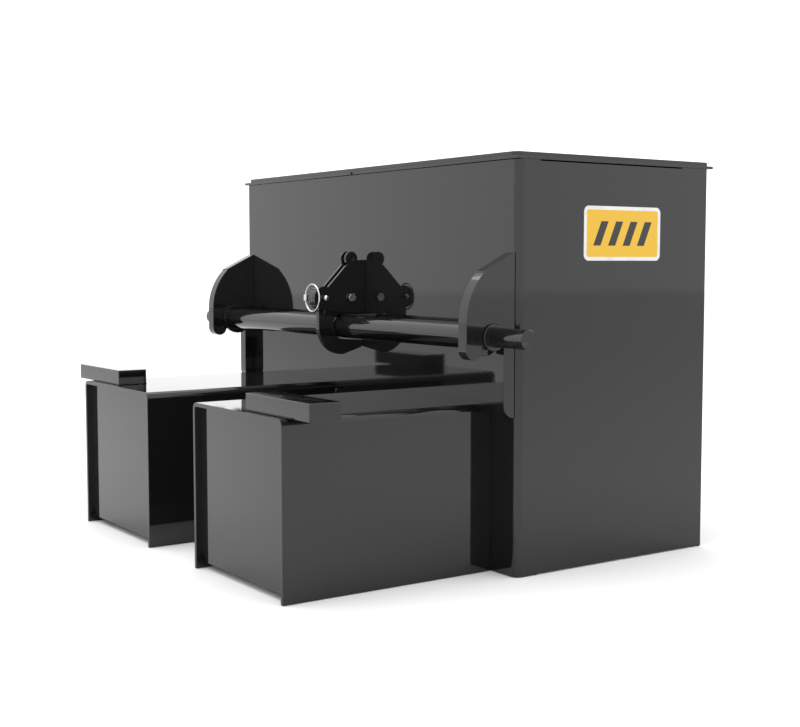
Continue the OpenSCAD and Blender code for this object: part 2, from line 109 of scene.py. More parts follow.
class Network:
    """Node network of one material, with a Principled shader on Object coordinates."""

    def __init__(self, name: str) -> None:
        """Starts an empty network.

        Args:
            name: Name of the new material.
        """
        self.material = bpy.data.materials.new(name)
        self.material.use_nodes = True
        self.tree = self.material.node_tree
        self.tree.nodes.clear()
        output = self.tree.nodes.new("ShaderNodeOutputMaterial")
        self.shader = self.tree.nodes.new("ShaderNodeBsdfPrincipled")
        self.tree.links.new(self.shader.outputs["BSDF"], output.inputs["Surface"])
        self.place = self.tree.nodes.new("ShaderNodeTexCoord").outputs["Object"]

    def fixed(self, **values: float | Colour) -> None:
        """Sets constant sockets of the shader; an underscore in a name stands for a space."""
        for name, value in values.items():
            self.shader.inputs[name.replace("_", " ")].default_value = value

    def feed(self, socket: str, source: bpy.types.NodeSocket) -> None:
        """Links a source to one of the shader's sockets."""
        self.tree.links.new(source, self.shader.inputs[socket])

    def moved(
        self, shift: Sequence[float] = (0, 0, 0), scale: Sequence[float] = (1, 1, 1)
    ) -> bpy.types.NodeSocket:
        """Returns Object coordinates that are shifted and scaled."""
        node = self.tree.nodes.new("ShaderNodeMapping")
        node.inputs["Location"].default_value = shift
        node.inputs["Scale"].default_value = scale
        self.tree.links.new(self.place, node.inputs["Vector"])
        return node.outputs["Vector"]

    def noise(
        self,
        scale: float,
        detail: float = 2.0,
        stretch: Sequence[float] | None = None,
    ) -> bpy.types.NodeSocket:
        """Adds a noise pattern.

        Args:
            scale: Features per metre.
            detail: Number of finer octaves.
            stretch: Scale of the coordinates along each axis.

        Returns:
            The pattern's factor, centred near a half.
        """
        node = self.tree.nodes.new("ShaderNodeTexNoise")
        node.inputs["Scale"].default_value = scale
        node.inputs["Detail"].default_value = detail
        place = self.place if stretch is None else self.moved(scale=stretch)
        self.tree.links.new(place, node.inputs["Vector"])
        return node.outputs["Fac"]

    def cells(self, scale: float) -> bpy.types.NodeSocket:
        """Adds a Voronoi pattern and returns the distance to the nearest cell's centre."""
        node = self.tree.nodes.new("ShaderNodeTexVoronoi")
        node.inputs["Scale"].default_value = scale
        self.tree.links.new(self.place, node.inputs["Vector"])
        return node.outputs["Distance"]

    def ranged(
        self,
        source: bpy.types.NodeSocket,
        low: float,
        high: float,
        to_low: float = 0.0,
        to_high: float = 1.0,
    ) -> bpy.types.NodeSocket:
        """Maps a value from low..high to to_low..to_high, clamped, and returns it."""
        node = self.tree.nodes.new("ShaderNodeMapRange")
        for name, value in zip(("From Min", "From Max", "To Min", "To Max"), (low, high, to_low, to_high)):
            node.inputs[name].default_value = value
        self.tree.links.new(source, node.inputs["Value"])
        return node.outputs["Result"]

    def maths(
        self, kind: str, first: bpy.types.NodeSocket, second: bpy.types.NodeSocket | float
    ) -> bpy.types.NodeSocket:
        """Returns a Math node's result.

        Args:
            kind: The operation, such as ADD or MULTIPLY.
            first: First value.
            second: Second value, a socket or a number.

        Returns:
            The result socket.
        """
        node = self.tree.nodes.new("ShaderNodeMath")
        node.operation = kind
        self.tree.links.new(first, node.inputs[0])
        if isinstance(second, bpy.types.NodeSocket):
            self.tree.links.new(second, node.inputs[1])
        else:
            node.inputs[1].default_value = second
        return node.outputs[0]

    def mixed(
        self,
        share: bpy.types.NodeSocket,
        first: Colour | bpy.types.NodeSocket,
        second: Colour | bpy.types.NodeSocket,
    ) -> bpy.types.NodeSocket:
        """Returns a colour between first and second, by share."""
        node = self.tree.nodes.new("ShaderNodeMix")
        node.data_type = "RGBA"
        self.tree.links.new(share, node.inputs[0])
        for index, value in ((6, first), (7, second)):
            if isinstance(value, bpy.types.NodeSocket):
                self.tree.links.new(value, node.inputs[index])
            else:
                node.inputs[index].default_value = value
        return node.outputs[2]

    def axis_value(self, axis: Axis, place: bpy.types.NodeSocket | None = None) -> bpy.types.NodeSocket:
        """Returns one coordinate of the place."""
        node = self.tree.nodes.new("ShaderNodeSeparateXYZ")
        self.tree.links.new(place or self.place, node.inputs[0])
        return node.outputs[axis.name]

    def mark(self, name: str) -> bpy.types.NodeSocket:
        """Returns the factor of a mesh attribute."""
        node = self.tree.nodes.new("ShaderNodeAttribute")
        node.attribute_name = name
        return node.outputs["Fac"]

    def bumped(
        self, height: bpy.types.NodeSocket, depth: float, under: bpy.types.NodeSocket | None = None
    ) -> bpy.types.NodeSocket:
        """Adds a bump.

        Args:
            height: Height pattern, 0 to 1.
            depth: Depth in metres at full height.
            under: Normal to add it to.

        Returns:
            The bumped normal.
        """
        node = self.tree.nodes.new("ShaderNodeBump")
        node.inputs["Strength"].default_value = 1.0
        node.inputs["Distance"].default_value = depth
        self.tree.links.new(height, node.inputs["Height"])
        if under is not None:
            self.tree.links.new(under, node.inputs["Normal"])
        return node.outputs["Normal"]


EDGE_MARK = "eased_edge"


@dataclass(frozen=True)
class GlossEnamel:
    """Baked gloss enamel on sheet steel: orange peel, faint sheet waves, haze and rubbed edges."""

    name: str
    colour: Colour = (0.0058, 0.0059, 0.0064, 1.0)
    dust_colour: Colour = (0.020, 0.0195, 0.019, 1.0)
    rubbed_colour: Colour = (0.026, 0.026, 0.027, 1.0)
    low_roughness: float = 0.025
    high_roughness: float = 0.055
    rubbed_share: float = 0.66
    peel_depth: float = 0.000012
    wave_depth: float = 0.00018

    def make(self) -> bpy.types.Material:
        """Returns the finished material."""
        net = Network(self.name)
        haze = net.noise(5.0, 4.0)
        specks = net.ranged(net.noise(900.0, 1.0), 0.70, 0.78)
        dust = net.maths("MULTIPLY", specks, net.ranged(net.noise(9.0, 3.0), 0.45, 0.7))
        base = net.mixed(dust, self.colour, self.dust_colour)
        chips = net.ranged(net.noise(160.0, 3.0), self.rubbed_share, self.rubbed_share + 0.06)
        rubbed = net.maths("MULTIPLY", net.mark(EDGE_MARK), chips)
        net.feed("Base Color", net.mixed(rubbed, base, self.rubbed_colour))
        rough = net.ranged(haze, 0.3, 0.75, self.low_roughness, self.high_roughness)
        rough = net.maths("ADD", rough, net.maths("MULTIPLY", dust, 0.25))
        net.feed("Roughness", net.maths("ADD", rough, net.maths("MULTIPLY", rubbed, 0.15)))
        waves = net.bumped(net.noise(3.2, 1.0), self.wave_depth)
        net.feed("Normal", net.bumped(net.noise(420.0, 2.0), self.peel_depth, waves))
        net.fixed(IOR=1.5)
        return net.material


@dataclass(frozen=True)
class WornBarEnamel:
    """Enamel on the turning bar, rubbed to dull steel where links and hook run on it."""

    name: str = "bar_enamel_rubbed"
    colour: Colour = (0.0058, 0.0059, 0.0064, 1.0)
    steel: Colour = (0.024, 0.0235, 0.023, 1.0)
    pin_start: float = 0.425
    pin_full: float = 0.465
    peel_depth: float = 0.000012

    def make(self) -> bpy.types.Material:
        """Returns the finished material."""
        net = Network(self.name)
        reach = net.maths("ABSOLUTE", net.axis_value(Axis.X), 0.0)
        on_pin = net.ranged(reach, self.pin_start, self.pin_full)
        streaks = net.ranged(net.noise(70.0, 4.0, stretch=(5.0, 1.0, 1.0)), 0.54, 0.72)
        scuff = net.maths("MULTIPLY", on_pin, streaks)
        net.feed("Base Color", net.mixed(scuff, self.colour, self.steel))
        rough = net.ranged(net.noise(14.0, 3.0), 0.3, 0.75, 0.05, 0.12)
        net.feed("Roughness", net.maths("ADD", rough, net.maths("MULTIPLY", scuff, 0.14)))
        rings = net.bumped(net.noise(60.0, 2.0, stretch=(9.0, 0.4, 0.4)), 0.00003)
        net.feed("Normal", net.bumped(net.noise(420.0, 2.0), self.peel_depth, rings))
        net.fixed(IOR=1.5)
        return net.material


@dataclass(frozen=True)
class InnerPaint:
    """Thin satin paint inside the box, with runs and grit."""

    name: str = "inner_satin_paint"
    colour: Colour = (0.020, 0.020, 0.022, 1.0)
    grit: Colour = (0.065, 0.060, 0.052, 1.0)

    def make(self) -> bpy.types.Material:
        """Returns the finished material."""
        net = Network(self.name)
        worn = net.ranged(net.noise(22.0, 6.0), 0.52, 0.70)
        net.feed("Base Color", net.mixed(worn, self.colour, self.grit))
        net.feed("Roughness", net.ranged(net.noise(30.0, 3.0), 0.3, 0.7, 0.32, 0.55))
        runs = net.bumped(net.noise(18.0, 2.0, stretch=(3.0, 3.0, 0.3)), 0.0004)
        net.feed("Normal", net.bumped(net.noise(700.0, 2.0), 0.00005, runs))
        return net.material


@dataclass(frozen=True)
class CastConcrete:
    """Vibrated concrete with a cement skin, sand grain and small air holes."""

    name: str = "cast_concrete"
    paste: Colour = (0.33, 0.32, 0.30, 1.0)
    damp: Colour = (0.21, 0.20, 0.185, 1.0)

    def make(self) -> bpy.types.Material:
        """Returns the finished material."""
        net = Network(self.name)
        clouds = net.ranged(net.noise(8.0, 6.0), 0.35, 0.7)
        net.feed("Base Color", net.mixed(clouds, self.paste, self.damp))
        net.feed("Roughness", net.ranged(net.noise(60.0, 3.0), 0.3, 0.7, 0.75, 0.95))
        holes = net.bumped(net.ranged(net.cells(95.0), 0.08, 0.16), 0.0012)
        net.feed("Normal", net.bumped(net.noise(900.0, 4.0), 0.0002, holes))
        return net.material


@dataclass(frozen=True)
class BrightZinc:
    """Bright zinc plate over steel, with fine brushing, dull patches and a faint bloom."""

    name: str = "bright_zinc"
    bright: Colour = (0.56, 0.57, 0.58, 1.0)
    bloom: Colour = (0.36, 0.365, 0.36, 1.0)

    def make(self) -> bpy.types.Material:
        """Returns the finished material."""
        net = Network(self.name)
        patches = net.ranged(net.noise(180.0, 4.0), 0.45, 0.72)
        net.feed("Base Color", net.mixed(patches, self.bright, self.bloom))
        net.feed("Roughness", net.ranged(net.noise(260.0, 3.0), 0.3, 0.7, 0.14, 0.34))
        net.feed("Normal", net.bumped(net.noise(1500.0, 2.0, stretch=(1.0, 0.2, 0.2)), 0.00001))
        net.fixed(Metallic=1.0)
        return net.material


@dataclass(frozen=True)
class SealRubber:
    """Dull extruded rubber with a fine skin."""

    name: str = "seal_rubber_dull"
    colour: Colour = (0.012, 0.012, 0.013, 1.0)
    chalk: Colour = (0.035, 0.034, 0.033, 1.0)

    def make(self) -> bpy.types.Material:
        """Returns the finished material."""
        net = Network(self.name)
        chalky = net.ranged(net.noise(40.0, 5.0), 0.45, 0.7)
        net.feed("Base Color", net.mixed(chalky, self.colour, self.chalk))
        net.feed("Roughness", net.ranged(net.noise(90.0, 3.0), 0.3, 0.7, 0.55, 0.8))
        net.feed("Normal", net.bumped(net.noise(1400.0, 2.0), 0.00006))
        return net.material


@dataclass(frozen=True)
class AmberFilm:
    """Amber reflective film with slanted black stripes and a cell pattern under a clear face."""

    centre: tuple[float, float, float]
    name: str = "amber_film"
    amber: Colour = (0.58, 0.338, 0.007, 1.0)
    pale: Colour = (0.64, 0.385, 0.018, 1.0)
    ink: Colour = (0.010, 0.010, 0.011, 1.0)
    pitch: float = 0.030
    slant: float = math.radians(24)
    band: float = 0.018
    reach: float = 0.059
    blur: float = 0.0003

    def make(self) -> bpy.types.Material:
        """Returns the finished material."""
        net = Network(self.name)
        middle = net.moved(shift=tuple(-part for part in self.centre))
        across = net.axis_value(Axis.Y, middle)
        up = net.axis_value(Axis.Z, middle)
        lean = net.maths("SUBTRACT", across, net.maths("MULTIPLY", up, math.tan(self.slant)))
        phase = net.maths("PINGPONG", lean, self.pitch / 2)
        stripe = net.ranged(phase, self.pitch / 4, self.pitch / 4 + self.blur)
        for offset, limit in ((up, self.band), (lean, self.reach)):
            distance = net.maths("ABSOLUTE", offset, 0.0)
            inside = net.ranged(distance, limit, limit + self.blur, 1.0, 0.0)
            stripe = net.maths("MULTIPLY", stripe, inside)
        cells = net.ranged(net.cells(620.0), 0.2, 0.6)
        field_colour = net.mixed(cells, self.pale, self.amber)
        net.feed("Base Color", net.mixed(stripe, field_colour, self.ink))
        net.feed("Roughness", net.ranged(net.noise(50.0, 3.0), 0.3, 0.7, 0.12, 0.24))
        net.feed("Normal", net.bumped(cells, 0.00001))
        return net.material


@dataclass(frozen=True)
class WhiteFilm:
    """White border of the label, slightly yellowed and scuffed."""

    name: str = "white_film"
    white: Colour = (0.60, 0.60, 0.59, 1.0)
    aged: Colour = (0.50, 0.49, 0.46, 1.0)

    def make(self) -> bpy.types.Material:
        """Returns the finished material."""
        net = Network(self.name)
        age = net.ranged(net.noise(45.0, 4.0), 0.5, 0.8)
        net.feed("Base Color", net.mixed(age, self.white, self.aged))
        net.feed("Roughness", net.ranged(net.noise(60.0, 3.0), 0.3, 0.7, 0.14, 0.28))
        net.feed("Normal", net.bumped(net.noise(600.0, 2.0), 0.00001))
        return net.material


@dataclass(frozen=True)
class StudioFloor:
    """Matt pale floor."""

    name: str = "studio_floor"
    pale: Colour = (0.80, 0.80, 0.80, 1.0)
    soft: Colour = (0.78, 0.78, 0.78, 1.0)

    def make(self) -> bpy.types.Material:
        """Returns the finished material."""
        net = Network(self.name)
        net.feed("Base Color", net.mixed(net.noise(1.5, 3.0), self.pale, self.soft))
        net.feed("Roughness", net.ranged(net.noise(20.0, 2.0), 0.3, 0.7, 0.85, 0.95))
        net.feed("Normal", net.bumped(net.noise(300.0, 2.0), 0.00005))
        net.fixed(Specular_IOR_Level=0.0)
        return net.material


@dataclass
class Finishes:
    """The finishes, each made once."""

    enamel: bpy.types.Material = field(init=False)
    thick_enamel: bpy.types.Material = field(init=False)
    bar: bpy.types.Material = field(init=False)
    inner: bpy.types.Material = field(init=False)
    concrete: bpy.types.Material = field(init=False)
    zinc: bpy.types.Material = field(init=False)
    rubber: bpy.types.Material = field(init=False)

    def __post_init__(self) -> None:
        """Makes the materials."""
        self.enamel = GlossEnamel("sheet_enamel").make()
        self.thick_enamel = GlossEnamel("plate_enamel", rubbed_share=0.62, wave_depth=0.00003).make()
        self.bar = WornBarEnamel().make()
        self.inner = InnerPaint().make()
        self.concrete = CastConcrete().make()
        self.zinc = BrightZinc().make()
        self.rubber = SealRubber().make()


# Mesh work

# Points nearer than these are merged after a spin and in a node's copy.
SEAM_DISTANCE = 1e-7
MERGE_DISTANCE = 2e-6
# Faces of a node's copy that are within this angle of each other become one.
FLAT_ANGLE = math.radians(0.4)
# Place of an eased rim's middle station, as a share of the easing.
ARC_SHARE = 0.3


def turned(
    stations: Sequence[tuple[float, float]],
    start: Vector,
    axis: Axis = Axis.X,
    steps: int = 96,
    closed: bool = False,
) -> bmesh.types.BMesh:
    """Turns a profile into a round body.

    Args:
        stations: Distances along the axis from the start, each with its radius.
        start: Point that distance 0 is at.
        axis: Direction of the axis.
        steps: Number of faces round the body.
        closed: Whether the profile closes on itself, as a tube's does.

    Returns:
        The body's bmesh, in place.
    """
    bm = bmesh.new()
    points = [bm.verts.new((along, radius, 0.0)) for along, radius in stations]
    pairs = list(zip(points, points[1:]))
    if closed:
        pairs.append((points[-1], points[0]))
    for first, second in pairs:
        bm.edges.new((first, second))
    bmesh.ops.spin(
        bm,
        geom=bm.verts[:] + bm.edges[:],
        cent=(0, 0, 0),
        axis=(1, 0, 0),
        angle=math.tau,
        steps=steps,
        use_merge=True,
    )
    bmesh.ops.remove_doubles(bm, verts=bm.verts[:], dist=SEAM_DISTANCE)
    bmesh.ops.recalc_face_normals(bm, faces=bm.faces[:])
    bmesh.ops.transform(bm, matrix=Matrix.Translation(start) @ axis.turn(), verts=bm.verts[:])
    return bm


def joined(parts: Iterable[bmesh.types.BMesh]) -> bmesh.types.BMesh:
    """Puts several bmeshes in one and frees them."""
    whole = bmesh.new()
    for part in parts:
        mesh = bpy.data.meshes.new("part")
        part.to_mesh(mesh)
        part.free()
        whole.from_mesh(mesh)
        bpy.data.meshes.remove(mesh)
    return whole


def ease_edges(
    bm: bmesh.types.BMesh,
    width: float,
    butts: Sequence[float] = (),
    steps: int = 3,
    least: float = math.radians(28.0),
) -> None:
    """Rounds a body's sharp outer edges and marks the new faces.

    Args:
        bm: Body to change.
        width: Width of the rounding.
        butts: Y of each plane where the body meets another flush; edges in it stay sharp.
        steps: Faces across the rounding.
        least: Smallest angle between two faces that counts as sharp.
    """
    near = 0.0001
    mark = bm.faces.layers.float.get(EDGE_MARK) or bm.faces.layers.float.new(EDGE_MARK)
    bm.normal_update()

    def flush(edge: bmesh.types.BMEdge) -> bool:
        """Returns whether an edge lies in one of the butt planes."""
        return any(all(abs(vert.co.y - butt) < near for vert in edge.verts) for butt in butts)

    outer = [edge for edge in bm.edges if len(edge.link_faces) == 2 and edge.is_convex]
    sharp = [edge for edge in outer if edge.calc_face_angle() > least and not flush(edge)]
    made = bmesh.ops.bevel(
        bm,
        geom=sharp,
        offset=width,
        offset_type="OFFSET",
        segments=steps,
        profile=0.5,
        affect="EDGES",
        material=-1,
        clamp_overlap=False,
    )
    for face in made["faces"]:
        face[mark] = 1.0


def plate_copy(node: str, width: float, butts: Sequence[float] = ()) -> bmesh.types.BMesh:
    """Returns a merged copy of a node's mesh with eased edges.

    Args:
        node: Name of the CAD node.
        width: Width of the eased edges.
        butts: Y of each plane whose edges stay sharp.

    Returns:
        The copy's bmesh, in place.
    """
    bm = bmesh.new()
    bm.from_mesh(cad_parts[node].data)
    bmesh.ops.remove_doubles(bm, verts=bm.verts[:], dist=MERGE_DISTANCE)
    bmesh.ops.dissolve_limit(bm, angle_limit=FLAT_ANGLE, verts=bm.verts[:], edges=bm.edges[:])
    ease_edges(bm, width, butts)
    return bm


def show(
    bm: bmesh.types.BMesh,
    name: str,
    body: Body,
    finishes: Sequence[bpy.types.Material],
    stands_for: Sequence[str] = (),
    crease: float = 40.0,
) -> None:
    """Makes a piece from a bmesh, links it to the scene and attaches it to its body.

    Args:
        bm: The finished shape, which is freed.
        name: Name of the piece.
        body: Body that the piece rides on.
        finishes: Materials in slot order.
        stands_for: CAD nodes that the piece replaces.
        crease: Angle in degrees above which an edge stays sharp.
    """
    bm.normal_update()
    for edge in bm.edges:
        if len(edge.link_faces) == 2:
            edge.smooth = edge.calc_face_angle() < math.radians(crease)
    for face in bm.faces:
        face.smooth = True
    mesh = bpy.data.meshes.new(name)
    bm.to_mesh(mesh)
    bm.free()
    for finish in finishes:
        mesh.materials.append(finish)
    piece = bpy.data.objects.new(name, mesh)
    bpy.context.scene.collection.objects.link(piece)
    weighted = piece.modifiers.new("flat_faces", "WEIGHTED_NORMAL")
    weighted.mode = "FACE_AREA"
    weighted.weight = 100
    weighted.keep_sharp = True
    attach(piece, body.value)
    if stands_for:
        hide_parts(*stands_for)
    log.info("%s: %d faces on %s", name, len(mesh.polygons), body.value)


def skin(
    node: str,
    width: float,
    body: Body,
    finish: bpy.types.Material,
    butts: Sequence[float] = (),
) -> None:
    """Shows a CAD node by its copy with eased edges.

    Args:
        node: Name of the CAD node.
        width: Width of the eased edges.
        body: Body that the node belongs to.
        finish: Its material.
        butts: Y of each plane whose edges stay sharp.
    """
    show(plate_copy(node, width, butts), f"{node}_skin", body, [finish], [node])


def dress(node: str, finish: bpy.types.Material) -> None:
    """Gives a shown CAD node a finish through its material slots."""
    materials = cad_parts[node].data.materials
    if len(materials) == 0:
        materials.append(finish)
    for index in range(len(materials)):
        materials[index] = finish
    log.info("%s: finish %s", node, finish.name)


@dataclass
class WeldBead:
    """A laid fillet bead: a round body with even ripples, half sunk in the corner."""

    radius: float = 0.0030
    ripple: float = 0.0032
    dip: float = 0.16
    waver: float = 0.06
    crown_at: float = 0.35
    dip_at: float = 0.95
    end_share: float = 0.6
    sunk_share: float = 0.25
    sides: int = 12

    def line(self, start: Vector, length: float, axis: Axis) -> bmesh.types.BMesh:
        """Lays a straight bead.

        Args:
            start: Start of the corner line.
            length: Length of the bead.
            axis: Direction of the line.

        Returns:
            The bead's bmesh.
        """
        dice = random.Random(f"{SEED}{start.x:.3f}{start.y:.3f}{start.z:.3f}")
        count = max(3, round(length / self.ripple))
        pitch = length / count
        stations = [(0.0, 0.0), (0.0, self.radius * self.end_share)]
        for index in range(count):
            crown = self.radius * (1.0 + dice.uniform(-self.waver, self.waver))
            stations.append(((index + self.crown_at) * pitch, crown))
            if index < count - 1:
                stations.append(((index + self.dip_at) * pitch, self.radius * (1.0 - self.dip)))
        stations += [(length, self.radius * self.end_share), (length, 0.0)]
        return turned(stations, start, axis, self.sides)


@dataclass
class BoxShell:
    """The welded box: bent front, flat back, side panels, floor, ribs and cast ballast."""

    finishes: Finishes
    ease: float = 0.0007
    skins: tuple[str, ...] = ("front_panel", "back_panel", "side_panel_left", "side_panel_right")
    inside: tuple[str, ...] = ("floor_plate", "rib_left", "rib_right", "storage_floor")
    casts: tuple[str, ...] = ("ballast_left", "ballast_centre", "ballast_right")

    def build(self) -> None:
        """Makes the box's pieces, with no groove where the welded walls meet flush."""
        butts = [corner.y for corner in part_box("side_panel_right")]
        for node in self.skins:
            skin(node, self.ease, Body.BOX, self.finishes.enamel, butts)
        for node in self.inside:
            dress(node, self.finishes.inner)
        for node in self.casts:
            dress(node, self.finishes.concrete)


@dataclass
class RimAndLid:
    """Flat rim, pressed lid, stiffener, seal and the two welded hinges."""

    finishes: Finishes
    ease: float = 0.0006
    hinge_ease: float = 0.0004
    pin_dome: float = 0.0006

    def build(self) -> None:
        """Makes the rim, the lid and the hinges."""
        enamel = self.finishes.enamel
        skin("rim_flange", self.ease, Body.BOX, enamel)
        skin("lid", self.ease, Body.LID, enamel)
        skin("lid_stiffener", self.hinge_ease, Body.LID, self.finishes.inner)
        dress("lid_seal", self.finishes.rubber)
        skin("hinge_blocks", self.hinge_ease, Body.BOX, self.finishes.thick_enamel)
        skin("hinge_leaves", self.hinge_ease, Body.LID, self.finishes.thick_enamel)
        self.build_pins()

    def build_pins(self) -> None:
        """Turns the two hinge pins, with domed ends."""
        low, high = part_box("hinge_pins")
        middle = (low + high) / 2
        radius = (high.z - low.z) / 2
        length = max(-low.x, high.x) - self.inner_end()
        pins = []
        for side in Side:
            start_x = self.inner_end() if side is Side.RIGHT else -self.inner_end() - length
            stations = [
                (0.0, 0.0),
                (0.0, radius - self.pin_dome),
                (self.pin_dome, radius),
                (length - self.pin_dome, radius),
                (length, radius - self.pin_dome),
                (length, 0.0),
            ]
            pins.append(turned(stations, Vector((start_x, middle.y, middle.z)), steps=32))
        show(joined(pins), "hinge_pins_turned", Body.BOX, [self.finishes.zinc], ["hinge_pins"])

    def inner_end(self) -> float:
        """Returns the distance from the middle to a hinge pin's nearer end."""
        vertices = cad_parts["hinge_pins"].data.vertices
        return min(abs(vertex.co.x) for vertex in vertices)


@dataclass
class WeightPod:
    """One forward pod: bent shell, recessed end plate, base, cast weight and stop block."""

    finishes: Finishes
    side: Side
    ease: float = 0.0008
    block_ease: float = 0.0011
    weld_inset: float = 0.012
    bead: WeldBead = field(default_factory=WeldBead)

    def build(self) -> None:
        """Makes the pod's pieces."""
        tag = self.side.tag()
        for part, width in (("pod_shell", self.ease), ("pod_end", self.ease / 2), ("pod_base", self.ease)):
            skin(f"{part}_{tag}", width, Body.BOX, self.finishes.enamel)
        skin(f"stop_block_{tag}", self.block_ease, Body.BOX, self.finishes.thick_enamel)
        dress(f"pod_ballast_{tag}", self.finishes.concrete)
        self.build_welds()

    def build_welds(self) -> None:
        """Lays the beads behind the stop block and up the pod's inner side."""
        tag = self.side.tag()
        shell_low, shell_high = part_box(f"pod_shell_{tag}")
        block_low, block_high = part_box(f"stop_block_{tag}")
        inset = self.weld_inset
        first = max(shell_low.x + inset, block_low.x + inset / 2)
        last = min(shell_high.x - inset, block_high.x - inset / 2)
        sunk = self.bead.radius * self.bead.sunk_share
        start = Vector((first, block_high.y + sunk, shell_high.z + sunk))
        behind = self.bead.line(start, last - first, Axis.X)
        inner_x = shell_low.x - sunk if self.side is Side.RIGHT else shell_high.x + sunk
        height = shell_high.z - shell_low.z - 2 * inset
        foot = Vector((inner_x, shell_high.y - sunk, shell_low.z + inset))
        upright = self.bead.line(foot, height, Axis.Z)
        show(
            joined([behind, upright]),
            f"pod_welds_{tag}",
            Body.BOX,
            [self.finishes.thick_enamel],
            crease=60.0,
        )


@dataclass
class HitchEar:
    """One ear plate with its turned, collared bush."""

    finishes: Finishes
    side: Side
    ease: float = 0.0006
    collar: float = 0.008
    sleeve: float = 0.0195
    journal: float = 0.01455

    def build(self) -> None:
        """Makes the ear and its bush."""
        node = f"hitch_ear_{self.side.tag()}"
        skin(node, self.ease, Body.BOX, self.finishes.thick_enamel)
        self.build_bush()

    def build_bush(self) -> None:
        """Turns the bush: a collar inside the ear and a sleeve through it, with eased rims."""
        node = f"bush_{self.side.tag()}"
        low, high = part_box(node)
        radius = (high.z - low.z) / 2
        length = high.x - low.x
        ease = self.ease
        stations = [
            (0.0, radius - ease),
            (ease * ARC_SHARE, radius - ease * ARC_SHARE),
            (ease, radius),
            (self.collar - ease, radius),
            (self.collar, radius - ease),
            (self.collar, self.sleeve),
            (length - ease, self.sleeve),
            (length, self.sleeve - ease),
            (length, self.journal + ease / 2),
            (length - ease / 2, self.journal),
            (ease / 2, self.journal),
            (0.0, self.journal + ease / 2),
        ]
        if self.side is Side.LEFT:
            stations = [(length - along, size) for along, size in reversed(stations)]
        start = Vector((low.x, (low.y + high.y) / 2, (low.z + high.z) / 2))
        bush = turned(stations, start, closed=True)
        show(bush, f"{node}_turned", Body.BOX, [self.finishes.thick_enamel], [node])


@dataclass
class CrossBar:
    """The turning bar: thick middle, journals in the bushes and free chamfered hitch pins."""

    finishes: Finishes
    journal: float = 0.0145
    journal_out: float = 0.001
    pin: float = 0.0142
    chamfer: float = 0.0015
    shoulder_gap: float = 0.0003
    step_run: float = 0.0002
    step_rise: float = 0.0001
    ease: float = 0.0008

    def build(self) -> None:
        """Turns the bar."""
        low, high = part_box("cross_bar")
        bush_low, bush_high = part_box("bush_right")
        radius = (high.z - low.z) / 2
        half = bush_low.x - self.shoulder_gap
        step = bush_high.x + self.journal_out
        right = [
            (half - self.ease, radius),
            (half - self.ease * ARC_SHARE, radius - self.ease * ARC_SHARE),
            (half, radius - self.ease),
            (half, self.journal),
            (step - self.step_run, self.journal),
            (step, self.pin + self.step_rise),
            (step, self.pin),
            (high.x - self.chamfer, self.pin),
            (high.x, self.pin - self.chamfer),
            (high.x, 0.0),
        ]
        left = [(-along, size) for along, size in reversed(right)]
        start = Vector((0.0, (low.y + high.y) / 2, (low.z + high.z) / 2))
        bar = turned(left + right, start, steps=128)
        show(bar, "cross_bar_turned", Body.BAR, [self.finishes.bar], ["cross_bar"], crease=28.0)


